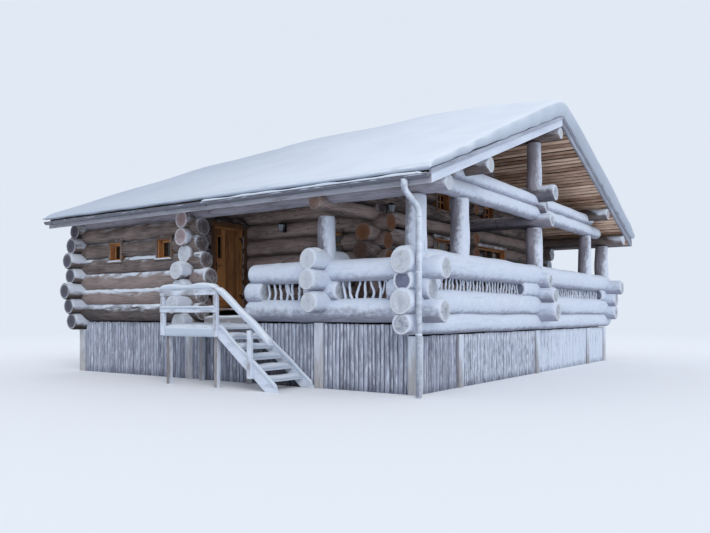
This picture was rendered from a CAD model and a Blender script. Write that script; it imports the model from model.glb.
# %% [markdown]
# # A round-log chalet in deep winter
#
# The real house is stacked from whole pine trunks. At each corner the trunks cross in saddle notches and run
# on past the wall, so a corner shows a stack of sawn discs. Frost covers whatever the weather reaches, and
# the wood under the roof stays grey-brown. In this lesson each trunk is a mesh of rings made in code, so that
# no two are alike, and one shader group lays the frost on every surface that looks up or into the wind.

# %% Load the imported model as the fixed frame
import functools
import math

import bmesh
import bpy
import numpy as np
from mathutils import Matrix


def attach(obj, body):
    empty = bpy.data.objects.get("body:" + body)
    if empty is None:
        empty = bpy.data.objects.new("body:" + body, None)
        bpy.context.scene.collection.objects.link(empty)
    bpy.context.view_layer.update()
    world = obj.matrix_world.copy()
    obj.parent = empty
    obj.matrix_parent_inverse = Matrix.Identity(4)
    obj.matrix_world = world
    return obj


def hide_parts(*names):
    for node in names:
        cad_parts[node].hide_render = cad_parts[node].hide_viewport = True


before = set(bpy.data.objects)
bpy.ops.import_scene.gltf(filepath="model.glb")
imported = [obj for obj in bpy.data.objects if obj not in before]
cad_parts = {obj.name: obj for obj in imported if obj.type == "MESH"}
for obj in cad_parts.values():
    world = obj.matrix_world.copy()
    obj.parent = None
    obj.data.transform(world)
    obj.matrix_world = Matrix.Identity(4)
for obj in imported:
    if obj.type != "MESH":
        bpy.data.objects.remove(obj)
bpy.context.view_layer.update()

# %% [markdown]
# A builder sets out a log house from the centre lines of its walls. The same lines are repeated here, in
# metres from the near corner of the terrace. X runs along the eaves and Y across the gable. A log across the
# gable lies half a course lower than the one along the eaves, which is what lets them lock together. Places
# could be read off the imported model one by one, but with these few lines a whole wall follows from a loop.

# %% Wall lines and roof heights
SITE = np.array([4.865, -5.76, 0.0])
X_AXIS, Y_AXIS, UP, FRONT = (1, 0, 0), (0, 1, 0), (0, 0, 1), (0, -1, 0)
left_x, door_x, terrace_x = -10.05, -5.95, -2.05
width, mid_y, gallery = 12.0, 6.0, 1.8
slope, eave_y, far_eave = 0.362, -0.76, 12.76
roof_left, roof_right = -10.45, 0.75
course = 0.39
# The course at the height of the eaves, counted from 0
EAVE_COURSE = 6


def barge_low(y):
    return 3.7 + slope * (np.minimum(y, width - y) - eave_y)


def soffit(y):
    return barge_low(y) + 0.04


def roof_top(y):
    return soffit(y) + 0.21


def z_across(k):
    return 1.305 + course * k


def z_along(k):
    return 1.54 + course * k


def log_size(k, wall):
    return 0.43 + 0.01 * math.sin(math.radians(151 * k + 77 * wall))


# Log ends that run out further or stop shorter than the rest, by wall number and course
longer = {(1, 1): 0.08, (1, 2): 0.28, (1, 3): 0.1, (1, 4): 0.1, (1, 5): 0.035, (2, 1): 0.235, (2, 2): 0.105,
          (2, 3): 0.105, (2, 4): -0.18, (14, 2): 0.19, (14, 3): 0.055}


def run_on(k, wall):
    return 0.38 + 0.06 * math.sin(math.radians(97 * k + 41 * wall)) + longer.get((wall, k), 0)


print("roof rises from", round(float(soffit(eave_y)), 2), "to", round(float(roof_top(mid_y)), 2), "m")

# %% [markdown]
# Wood, frost and snow all vary from place to place, and no trunk repeats. A seeded generator gives the same
# chance values in every run, and a sum of a few waves makes slow dents and swellings on a surface. A noise in
# the shader could fake them, but waves move the mesh itself, so that the outline of a log is uneven too.

# %% Chance and ripples
chance = np.random.RandomState(48)


def ripple(*places, waves=5, low=0.3, high=1.6):
    """A smooth value between about -1 and 1 that changes slowly along each of the places, in metres."""
    places = np.broadcast_arrays(*places)
    total = np.zeros(places[0].shape)
    for _ in range(waves):
        turn = sum(p * chance.uniform(low, high) * chance.choice([-1, 1]) for p in places)
        total += np.sin(2 * math.pi * (turn + chance.rand()))
    return total / math.sqrt(waves)


# %% [markdown]
# Many parts make up one piece of the house, such as the six trunks of a wall. A work piece collects them and
# turns them into one mesh. Next to its points it keeps three things that the shaders read: where a point lies
# in its own timber, along and across the grain, how much weather reaches it, and a tone for each timber.
# Joining many objects would do as well, but one list of points is quicker and keeps these values in step.

# %% Work piece
finishes = {}


class WorkPiece:
    """Shaped parts that are fixed together and become one mesh."""

    def __init__(self, name):
        self.name = name
        self.points, self.grain, self.weather, self.tone = [], [], [], []
        self.faces, self.skins, self.soft, self.used = [], [], [], []
        self.count = 0

    def add(self, points, faces, finish, grain, weather=0.0, tone=0.5, soft=True):
        points = np.asarray(points, float).reshape(-1, 3)
        if finish not in self.used:
            self.used.append(finish)
        for face in faces:
            self.faces.extend((np.asarray(face) + self.count).tolist())
            self.skins.extend([self.used.index(finish)] * len(face))
            self.soft.extend([soft] * len(face))
        self.points.append(points)
        self.grain.append(np.asarray(grain, float).reshape(-1, 3))
        reach = weather(points) if callable(weather) else weather
        self.weather.append(np.broadcast_to(np.asarray(reach, float), len(points)))
        self.tone.append(np.broadcast_to(np.asarray(tone, float), len(points)))
        self.count += len(points)

    def make(self, slot, *nodes, body="house"):
        mesh = bpy.data.meshes.new(self.name)
        mesh.from_pydata((np.vstack(self.points) + SITE).tolist(), [], self.faces)
        for finish in self.used:
            mesh.materials.append(finishes[finish])
        mesh.polygons.foreach_set("material_index", self.skins)
        mesh.polygons.foreach_set("use_smooth", self.soft)
        for label, kind, field, rows in (
            ("grain", "FLOAT_VECTOR", "vector", np.vstack(self.grain)),
            ("weather", "FLOAT", "value", np.concatenate(self.weather)),
            ("tone", "FLOAT", "value", np.concatenate(self.tone)),
        ):
            mesh.attributes.new(label, kind, "POINT").data.foreach_set(field, rows.ravel())
        skin = bmesh.new()
        skin.from_mesh(mesh)
        bmesh.ops.recalc_face_normals(skin, faces=skin.faces)
        skin.to_mesh(mesh)
        skin.free()
        thing = bpy.data.objects.new(self.name, mesh)
        bpy.context.scene.collection.objects.link(thing)
        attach(thing, body)
        if nodes:
            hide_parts(*nodes)


# %% Quads of tubes and sheets
@functools.lru_cache(maxsize=None)
def wrapped(rings, sides):
    """Quads of a tube made of rings of points."""
    i, j = np.meshgrid(np.arange(rings - 1), np.arange(sides), indexing="ij")
    first, second, k = i * sides, (i + 1) * sides, (j + 1) % sides
    return np.stack([first + j, first + k, second + k, second + j], -1).reshape(-1, 4)


@functools.lru_cache(maxsize=None)
def spread(rows, columns):
    """Quads of a flat sheet made of rows of points."""
    i, j = np.meshgrid(np.arange(rows - 1), np.arange(columns - 1), indexing="ij")
    first = i * columns + j
    return np.stack([first, first + 1, first + columns + 1, first + columns], -1).reshape(-1, 4)


# %% [markdown]
# ## Shader groups
#
# Wood, frost and snow recur on nearly every piece, so each is one node group with its own inputs. They put
# out only masks and values. The Principled shader stays in each material, where the exporter can read it.

# %% Helpers for nodes
def add(tree, kind, inputs=None, **settings):
    node = tree.nodes.new(kind)
    for key, value in settings.items():
        setattr(node, key, value)
    for key, value in (inputs or {}).items():
        if isinstance(value, bpy.types.NodeSocket):
            tree.links.new(value, node.inputs[key])
        else:
            node.inputs[key].default_value = value
    return node


def calc(tree, operation, *values, clamp=False):
    inputs = dict(enumerate(values))
    return add(tree, "ShaderNodeMath", inputs, operation=operation, use_clamp=clamp).outputs[0]


def times(tree, a, b, **more):
    return calc(tree, "MULTIPLY", a, b, **more)


def plus(tree, a, b, **more):
    return calc(tree, "ADD", a, b, **more)


def minus(tree, a, b):
    return calc(tree, "SUBTRACT", a, b)


def position(tree):
    return add(tree, "ShaderNodeNewGeometry").outputs["Position"]


def ramp(tree, value, low, high, start=0.0, end=1.0):
    """A soft step: start below low, end above high."""
    inputs = {"Value": value, "From Min": low, "From Max": high, "To Min": start, "To Max": end}
    return add(tree, "ShaderNodeMapRange", inputs, interpolation_type="SMOOTHSTEP").outputs["Result"]


def tint(tree, factor, first, second):
    inputs = {"Factor": factor, 6: first, 7: second}
    return add(tree, "ShaderNodeMix", inputs, data_type="RGBA").outputs[2]


def stretched(tree, vector, scale):
    return add(tree, "ShaderNodeMapping", {"Vector": vector, "Scale": scale}).outputs["Vector"]


def speckle(tree, vector, scale, detail=4.0, rough=0.55):
    inputs = {"Vector": vector, "Scale": scale, "Detail": detail, "Roughness": rough}
    return add(tree, "ShaderNodeTexNoise", inputs).outputs["Fac"]


# %% Helpers for groups
def new_group(name, inputs, outputs):
    """An empty shader group with named sockets, and its two ends."""
    tree = bpy.data.node_groups.new(name, "ShaderNodeTree")
    for label, kind, value in inputs:
        socket = tree.interface.new_socket(label, in_out="INPUT", socket_type=kind)
        if value is not None:
            socket.default_value = value
    for label in outputs:
        tree.interface.new_socket(label, in_out="OUTPUT", socket_type="NodeSocketFloat")
    start = tree.nodes.new("NodeGroupInput").outputs
    end = tree.nodes.new("NodeGroupOutput").inputs
    return tree, start, end


def use_group(tree, group, **inputs):
    node = tree.nodes.new("ShaderNodeGroup")
    node.node_tree = group
    for key, value in inputs.items():
        key = key.replace("_", " ")
        if isinstance(value, bpy.types.NodeSocket):
            tree.links.new(value, node.inputs[key])
        else:
            node.inputs[key].default_value = value
    return node.outputs


# %% [markdown]
# Grain runs along the timber, so its noise is stretched in that direction. Knots are small dark eyes that
# lie far apart, and drying checks are thin dark lines that follow the grain for a hand or two and stop. A
# wave texture could draw grain too, but it repeats along a trunk of twelve metres, and noise doesn't.

# %% Wood grain group
VECTOR, NUMBER = "NodeSocketVector", "NodeSocketFloat"
wood, taken, given = new_group(
    "wood grain",
    [("Grain", VECTOR, None), ("Fineness", NUMBER, 60.0), ("Knots", NUMBER, 0.5), ("Checks", NUMBER, 0.5)],
    ["Fibre", "Patches", "Knot", "Check"],
)
long_way = stretched(wood, taken["Grain"], (0.05, 1, 1))
fibre = speckle(wood, long_way, taken["Fineness"], 5.0, 0.6)
wood.links.new(fibre, given["Fibre"])
wood.links.new(speckle(wood, stretched(wood, taken["Grain"], (0.35, 1, 1)), 4.0, 3.0), given["Patches"])
knot_way = stretched(wood, taken["Grain"], (0.6, 1, 1))
eyes = add(wood, "ShaderNodeTexVoronoi", {"Vector": knot_way, "Scale": 3.4})
eye = ramp(wood, eyes.outputs["Distance"], 0.03, 0.11, 1.0, 0.0)
wood.links.new(times(wood, eye, taken["Knots"]), given["Knot"])
check_way = stretched(wood, taken["Grain"], (0.09, 1, 1))
lines = add(wood, "ShaderNodeTexVoronoi", {"Vector": check_way, "Scale": 9.0}, feature="DISTANCE_TO_EDGE")
thin = ramp(wood, lines.outputs["Distance"], 0.004, 0.03, 1.0, 0.0)
some = ramp(wood, speckle(wood, taken["Grain"], 1.3, 2.0), 0.5, 0.6)
check = times(wood, times(wood, thin, some), taken["Checks"])
wood.links.new(check, given["Check"])

# %% [markdown]
# Hoar frost grows towards the wind and settles on what looks up. The mask adds three things: how much weather
# reaches the timber, how far its surface turns to the wind and the sky, and a ragged noise for the edge. A
# mask painted by hand would fit one log, and this one follows every surface by itself.

# %% Hoar frost group
frost, taken, given = new_group(
    "hoar frost",
    [("Place", VECTOR, None), ("Weather", NUMBER, 0.5), ("Raggedness", NUMBER, 0.5),
     ("Patch size", NUMBER, 5.0), ("Lean", NUMBER, 0.5)],
    ["Cover", "Fluff"],
)
facts = add(frost, "ShaderNodeNewGeometry")
windward = add(frost, "ShaderNodeVectorMath", {0: facts.outputs["Normal"], 1: (0.75, 0.2, 0.62)},
               operation="DOT_PRODUCT")
turned_to = times(frost, windward.outputs["Value"], taken["Lean"])
patch = speckle(frost, taken["Place"], taken["Patch size"], 6.0, 0.62)
ragged = times(frost, minus(frost, patch, 0.5), times(frost, taken["Raggedness"], 3.0))
total = plus(frost, plus(frost, taken["Weather"], turned_to), ragged)
frost.links.new(ramp(frost, total, 0.15, 0.75), given["Cover"])
fluff = speckle(frost, facts.outputs["Position"], 30.0, 6.0, 0.75)
frost.links.new(plus(frost, times(frost, fluff, 0.6), times(frost, patch, 0.8)), given["Fluff"])

# %% [markdown]
# A sawn end shows yearly rings round the heart, crossed by a few cracks that open outwards as it dries. The
# rings are a sine of the distance from the heart, bent a little by noise. A wave texture draws rings as well,
# but only round one centre, and here each log has its own.

# %% Sawn end group
sawn, taken, given = new_group(
    "sawn end",
    [("Grain", VECTOR, None), ("Ring width", NUMBER, 0.011)],
    ["Rings", "Cracks", "Radius"],
)
parts = add(sawn, "ShaderNodeSeparateXYZ", {0: taken["Grain"]}).outputs
wander = times(sawn, speckle(sawn, taken["Grain"], 9.0, 3.0), 0.035)
squared = plus(sawn, times(sawn, parts[1], parts[1]), times(sawn, parts[2], parts[2]))
radius = plus(sawn, calc(sawn, "SQRT", squared), wander)
turns = times(sawn, calc(sawn, "DIVIDE", radius, taken["Ring width"]), 2 * math.pi)
sawn.links.new(ramp(sawn, calc(sawn, "SINE", turns), -0.6, 1.0), given["Rings"])
angle = calc(sawn, "ARCTAN2", parts[1], parts[2])
fan = {0: times(sawn, angle, 1.4), 1: times(sawn, radius, 3.0), 2: parts[0]}
fan = add(sawn, "ShaderNodeCombineXYZ", fan).outputs[0]
rays = add(sawn, "ShaderNodeTexVoronoi", {"Vector": fan, "Scale": 1.0}, feature="DISTANCE_TO_EDGE")
sawn.links.new(ramp(sawn, rays.outputs["Distance"], 0.0, 0.035, 1.0, 0.0), given["Cracks"])
sawn.links.new(radius, given["Radius"])

# %% [markdown]
# Settled snow isn't one white. It has faint cool hollows and a crust of small dimples and fine grains, all
# far weaker than the shading of its form. Where it stands steep it is greyer, as a broken edge is. Three
# noises and the slope are enough for that, because the form itself is in the mesh.

# %% Settled snow group
drift, taken, given = new_group("settled snow", [("Dimples", NUMBER, 1.0)], ["Hollow", "Crust", "Steep"])
facts = add(drift, "ShaderNodeNewGeometry").outputs
place = facts["Position"]
upward = add(drift, "ShaderNodeSeparateXYZ", {0: facts["Normal"]}).outputs[2]
drift.links.new(ramp(drift, upward, 0.1, 0.8, 1.0, 0.0), given["Steep"])
drift.links.new(ramp(drift, speckle(drift, place, 0.9, 3.0), 0.35, 0.7), given["Hollow"])
crust = plus(drift, times(drift, speckle(drift, place, 7.0, 4.0), 1.2), speckle(drift, place, 60.0, 3.0))
drift.links.new(times(drift, crust, taken["Dimples"]), given["Crust"])
print("shader groups:", [g.name for g in bpy.data.node_groups])

# %% [markdown]
# ## Finishes
#
# Each finish starts with a Principled shader whose plain numbers are set on its own sockets. The groups then
# drive its colour, roughness and bump. Colours are written in linear light, as the sockets expect.

# %% Start a finish
def linear(red, green, blue):
    """A display colour of 0 to 255 as linear light."""
    channels = [c / 255 for c in (red, green, blue)]
    return (*[c / 12.92 if c <= 0.04045 else ((c + 0.055) / 1.055) ** 2.4 for c in channels], 1.0)


def darker(colour, share):
    """A display colour as linear light, weakened to a share of itself."""
    return (*[share * c for c in linear(*colour)[:3]], 1.0)


def new_finish(name, rough, **plain):
    material = bpy.data.materials.new(name.replace(" ", "_"))
    material.use_nodes = True
    tree = material.node_tree
    shader = tree.nodes["Principled BSDF"]
    shader.inputs["Roughness"].default_value = rough
    for key, value in plain.items():
        shader.inputs[key.replace("_", " ")].default_value = value
    finishes[name] = material
    return tree, shader


def relief(tree, shader, height, depth, before=None):
    inputs = {"Height": height, "Distance": depth, "Strength": 1.0}
    if before is not None:
        inputs["Normal"] = before
    normal = add(tree, "ShaderNodeBump", inputs).outputs["Normal"]
    tree.links.new(normal, shader.inputs["Normal"])
    return normal


def own(tree, label):
    node = add(tree, "ShaderNodeAttribute", attribute_name=label)
    return node.outputs["Vector" if label == "grain" else "Fac"]


# %% [markdown]
# One recipe serves all timber. The wood colour runs from dark to light with the fibres, each timber shifts it
# by its own tone, and the frost mask lays its blue-white over that. A second, weaker haze greys the bare wood
# of pieces in the open, because frost there never leaves it quite clean. Where no weather reaches at all, as
# deep under the roof, the wood is darkened. A function builds the nodes, so a timber is a row of numbers.

# %% Recipe for timber
FROST = linear(222, 230, 242)
FROST_SHADE = linear(182, 195, 218)


def timber(name, dark, light, lean, reach=0.0, ragged=0.5, haze=0.35, knots=0.5, checks=0.6,
           fineness=60.0, patch=5.0, streak=0.45, rough=0.82):
    tree, shader = new_finish(name, rough)
    grain, tone = own(tree, "grain"), own(tree, "tone")
    seen = use_group(tree, wood, Grain=grain, Fineness=fineness, Knots=knots, Checks=checks)
    mixed = plus(tree, times(tree, seen["Fibre"], 0.7), times(tree, seen["Patches"], 0.5))
    mixed = ramp(tree, plus(tree, mixed, times(tree, tone, 0.35)), 0.52, 1.05)
    bare = tint(tree, mixed, linear(*dark), linear(*light))
    marks = calc(tree, "MAXIMUM", seen["Knot"], seen["Check"])
    bare = tint(tree, times(tree, marks, 0.8), bare, darker(dark, 0.35))
    shade = {i: ramp(tree, own(tree, "weather"), -0.75, -0.25, 0.3, 1.0) for i in range(3)}
    shade = add(tree, "ShaderNodeCombineColor", shade).outputs[0]
    inputs = {"Factor": 1.0, 6: bare, 7: shade}
    bare = add(tree, "ShaderNodeMix", inputs, data_type="RGBA", blend_type="MULTIPLY").outputs[2]
    weather = plus(tree, own(tree, "weather"), reach)
    place = stretched(tree, grain, (streak, 1, 1))
    rime = use_group(tree, frost, Place=place, Weather=weather, Raggedness=ragged, Patch_size=patch,
                     Lean=lean)
    veil = times(tree, times(tree, weather, haze), seen["Fibre"], clamp=True)
    cool = tint(tree, rime["Fluff"], FROST_SHADE, FROST)
    covered = tint(tree, calc(tree, "MAXIMUM", times(tree, rime["Cover"], 0.96), veil), bare, cool)
    tree.links.new(covered, shader.inputs["Base Color"])
    low = minus(tree, seen["Fibre"], times(tree, marks, 1.4))
    normal = relief(tree, shader, low, 0.005)
    relief(tree, shader, times(tree, rime["Cover"], rime["Fluff"]), 0.009, normal)


# %% Timber finishes
timber("frosted log", (124, 124, 138), (172, 176, 192), reach=0.12, lean=0.42, checks=0.6, knots=0.4,
       ragged=0.26, patch=11.0, streak=0.7)
timber("post log", (88, 83, 92), (156, 153, 166), lean=0.8, checks=0.8, knots=0.6, ragged=0.3, haze=0.45,
       patch=12.0, streak=0.8)
timber("weathered log", (54, 45, 43), (140, 125, 120), lean=1.0, ragged=0.55, haze=0.25, patch=8.0,
       streak=0.25)
timber("sheltered log", (56, 46, 45), (182, 163, 156), lean=0.35, ragged=0.5, haze=0.1, checks=1.0)
timber("pier timber", (136, 132, 132), (182, 180, 180), lean=0.2, ragged=0.4, knots=0.2, checks=0.7, haze=0.6,
       streak=0.2)
timber("slab board", (108, 110, 126), (164, 170, 188), lean=0.3, ragged=0.42, haze=0.5, knots=0.6, patch=14.0,
       streak=0.3)
timber("floor plank", (92, 74, 60), (150, 128, 106), lean=0.4, ragged=0.8, haze=0.2, fineness=80.0)
timber("roof lining", (146, 108, 84), (250, 218, 192), lean=0.0, haze=0.0, knots=0.8, checks=0.3,
       fineness=75.0)
timber("dark lining", (46, 36, 32), (84, 68, 60), lean=0.0, haze=0.0)
timber("edge board", (122, 122, 132), (178, 180, 190), lean=0.25, ragged=0.5, haze=0.5, knots=0.3, streak=0.2)
timber("barge board", (116, 120, 134), (168, 173, 188), lean=0.1, ragged=0.3, haze=0.6, knots=0.2, checks=0.3,
       streak=0.15)
timber("stair plank", (110, 104, 104), (166, 160, 160), lean=0.6, ragged=0.55, haze=0.6, knots=0.4)
timber("twig bark", (130, 126, 132), (180, 180, 188), reach=0.3, lean=0.3, ragged=0.5, haze=0.5, knots=0.3,
       fineness=120.0)
timber("honey pine", (112, 66, 34), (200, 140, 84), lean=0.3, ragged=0.6, haze=0.05, knots=1.0, checks=0.15,
       fineness=70.0, rough=0.5)
timber("brown casing", (80, 54, 38), (148, 108, 76), lean=0.1, ragged=0.4, haze=0.05, knots=0.8, checks=0.4,
       rough=0.6)
timber("grey joinery", (72, 58, 52), (126, 108, 98), lean=0.25, ragged=0.6, haze=0.15, knots=0.6, checks=0.4,
       rough=0.7)
print("timbers:", ", ".join(finishes))

# %% [markdown]
# Log ends differ more than anything else on the house. Those in the wind are white with faint rings, the ones
# just sawn are pinkish-orange, and those that have stood for years in a corner are dark grey-brown. They
# share a recipe as well. A sawn disc's tone grows from heart to rim, so that a lip of frost follows the rim.

# %% Recipe for sawn ends
def log_end(name, heart, rim, dark, reach=0.0, ragged=0.5, edge=0.85, lip_from=0.84, cracked=1.0):
    tree, shader = new_finish(name, 0.85)
    grain = own(tree, "grain")
    face = use_group(tree, sawn, Grain=grain)
    wide = ramp(tree, face["Radius"], 0.04, 0.2)
    bare = tint(tree, wide, linear(*heart), linear(*rim))
    bare = tint(tree, times(tree, face["Rings"], 0.45), bare, linear(*dark))
    bare = tint(tree, times(tree, face["Cracks"], 0.6), bare, darker(dark, 0.5))
    weather = plus(tree, times(tree, own(tree, "weather"), 0.5), reach)
    rime = use_group(tree, frost, Place=grain, Weather=weather, Raggedness=ragged, Patch_size=9.0, Lean=0.2)
    cover = times(tree, rime["Cover"], ramp(tree, face["Rings"], 0.0, 1.0, 1.0, 0.72))
    cover = times(tree, cover, ramp(tree, face["Cracks"], 0.0, 1.0, 1.0, 1 - 0.3 * cracked))
    lip = ramp(tree, plus(tree, own(tree, "tone"), times(tree, rime["Fluff"], 0.12)), lip_from, 1.0)
    cover = calc(tree, "MAXIMUM", cover, times(tree, lip, edge))
    white = tint(tree, rime["Fluff"], linear(210, 219, 233), linear(238, 243, 250))
    tree.links.new(tint(tree, cover, bare, white), shader.inputs["Base Color"])
    groove = minus(tree, times(tree, face["Rings"], -0.4), times(tree, face["Cracks"], cracked))
    normal = relief(tree, shader, groove, 0.006)
    relief(tree, shader, times(tree, cover, rime["Fluff"]), 0.008, normal)


# %% Finishes for sawn ends
log_end("frosted end", (150, 157, 176), (190, 199, 215), (112, 117, 136), reach=0.25, ragged=0.8, cracked=0.7)
log_end("blue end", (128, 134, 158), (118, 124, 148), (96, 102, 124), reach=-0.2, edge=1.0, lip_from=0.78)
log_end("white end", (188, 195, 210), (214, 221, 233), (142, 148, 166), reach=0.72, ragged=0.8, cracked=0.3)
log_end("fresh end", (168, 146, 146), (182, 168, 174), (126, 104, 104), edge=0.5)
log_end("dark end", (118, 106, 108), (132, 122, 126), (80, 70, 72), edge=0.35)
log_end("grey end", (84, 82, 94), (96, 96, 110), (58, 56, 64), edge=0.35)
log_end("bare end", (156, 130, 120), (146, 126, 124), (98, 80, 76), edge=0.05)
log_end("brown end", (124, 92, 76), (116, 90, 80), (70, 52, 46), edge=0.05)
log_end("orange end", (150, 98, 64), (152, 108, 80), (92, 62, 46), edge=0.05)

# %% [markdown]
# Snow is a rough white with a weak bump for its crust. Subsurface light would soften it further, but at the
# size of a house it hardly shows and is slow. On the roof the colour also darkens towards the far end, as it
# does on the real one. Sheet metal is a matt grey under frost, and the windows are dark because the rooms
# behind them are.

# %% Snow, metal and glass
for name, windward, lee in (("snow", (228, 235, 243), (216, 226, 238)),
                            ("roof snow", (228, 235, 243), (182, 191, 205))):
    tree, shader = new_finish(name, 0.75)
    lying = use_group(tree, drift, Dimples=1.0)
    along_roof, across_roof, _ = add(tree, "ShaderNodeSeparateXYZ", {0: position(tree)}).outputs
    shade = lying["Hollow"]
    if name == "roof snow":
        shade = plus(tree, ramp(tree, along_roof, -6.0, 6.5, 0.95, 0.0), times(tree, shade, 0.12), clamp=True)
    flat = tint(tree, shade, linear(*windward), linear(*lee))
    side = tint(tree, ramp(tree, across_roof, 0.2, 1.5), linear(178, 189, 205), linear(154, 165, 182))
    tree.links.new(tint(tree, times(tree, lying["Steep"], 0.8), flat, side), shader.inputs["Base Color"])
    relief(tree, shader, lying["Crust"], 0.006)

for name, sheet, ragged in (("frosted metal", (98, 100, 112), 0.45), ("frosted pipe", (150, 156, 171), 0.3)):
    tree, shader = new_finish(name, 0.55, Metallic=0.0)
    place = position(tree)
    rime = use_group(tree, frost, Place=place, Weather=own(tree, "weather"), Raggedness=ragged,
                     Patch_size=9.0, Lean=0.3)
    tree.links.new(tint(tree, rime["Cover"], linear(*sheet), FROST), shader.inputs["Base Color"])
    tree.links.new(ramp(tree, rime["Cover"], 0.0, 1.0, 0.42, 0.8), shader.inputs["Roughness"])
    relief(tree, shader, times(tree, rime["Cover"], rime["Fluff"]), 0.008)

tree, shader = new_finish("black iron", 0.45, Metallic=0.6)
worn = speckle(tree, position(tree), 60.0)
tree.links.new(tint(tree, worn, linear(26, 26, 30), linear(62, 62, 68)), shader.inputs["Base Color"])
relief(tree, shader, worn, 0.001)

tree, shader = new_finish("lantern glass", 0.35)
milk = speckle(tree, position(tree), 24.0)
tree.links.new(tint(tree, milk, linear(112, 120, 132), linear(190, 198, 208)), shader.inputs["Base Color"])

tree, shader = new_finish("window pane", 0.06, Alpha=0.6)
cloud = speckle(tree, position(tree), 3.0)
tree.links.new(tint(tree, cloud, linear(24, 20, 20), linear(52, 42, 36)), shader.inputs["Base Color"])
print(len(finishes), "finishes")

# %% [markdown]
# ## Shaping tools
#
# A trunk is rings of points along a line. Its radius tapers and ripples, its line bows a little, and near a
# sawn end it rounds off as an axe leaves it. Where a window takes the whole log the trunk is parted, and
# where it takes only the top or the underside those points are moved to the edge of the hole. Cutting the
# holes with a boolean would work too, but it leaves long thin faces and loses the grain values.

# %% Line and rings of a log
# Distances from a sawn end that an axe has rounded, in metres, and the share of the radius left at each
AXED = [0, 0.012, 0.04, 0.09], [0.9, 0.955, 0.988, 1]


def from_to(*places):
    """Start and end of a line given by x, y and z; a place that changes along it is a pair."""
    return zip(*(p if isinstance(p, tuple) else (p, p) for p in places))


def frame_along(start, end, up):
    along = np.subtract(end, start)
    length = float(np.linalg.norm(along))
    along = along / length
    side = np.cross(up, along)
    side /= np.linalg.norm(side)
    return along, side, np.cross(along, side), length


def parted(start, axis, length, radius, holes):
    """The stretches of a log that are left, and the holes that only cut into its top or its underside."""
    stretches, partial = [(0.0, length)], []
    z = start[2]
    for a0, a1, z0, z1 in holes:
        t0, t1 = a0 - start[axis], a1 - start[axis]
        if z1 < z - radius or z0 > z + radius or t1 < 0 or t0 > length:
            continue
        if z0 <= z - 0.75 * radius and z1 >= z + 0.75 * radius:
            left = [s for a, b in stretches for s in ((a, min(b, t0)), (max(a, t1), b))]
            stretches = [(a, b) for a, b in left if b - a > 0.02]
        elif z1 > z + 0.75 * radius:
            partial.append((t0, t1, -math.inf, z0))
        else:
            partial.append((t0, t1, z1, math.inf))
    return stretches, partial


def ring_places(first, last, length, step, partial):
    """Where a log gets its rings: evenly, closer at its own ends, and on both sides of each cut."""
    places = list(np.linspace(first, last, max(3, int((last - first) / step) + 1)))
    if first < 0.001:
        places += AXED[0][1:]
    if last > length - 0.001:
        places += [length - a for a in AXED[0][1:]]
    for t0, t1, _, _ in partial:
        places += [t for t in (t0 - 0.001, t0 + 0.001, t1 - 0.001, t1 + 0.001) if first < t < last]
    return np.array(sorted(set(round(p, 4) for p in places)))


# %% [markdown]
# The trunk puts this together. Every point also gets its place in the grain, and how much frost it may carry:
# less where it is turned down, more on the crown if snow lies there.

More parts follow.
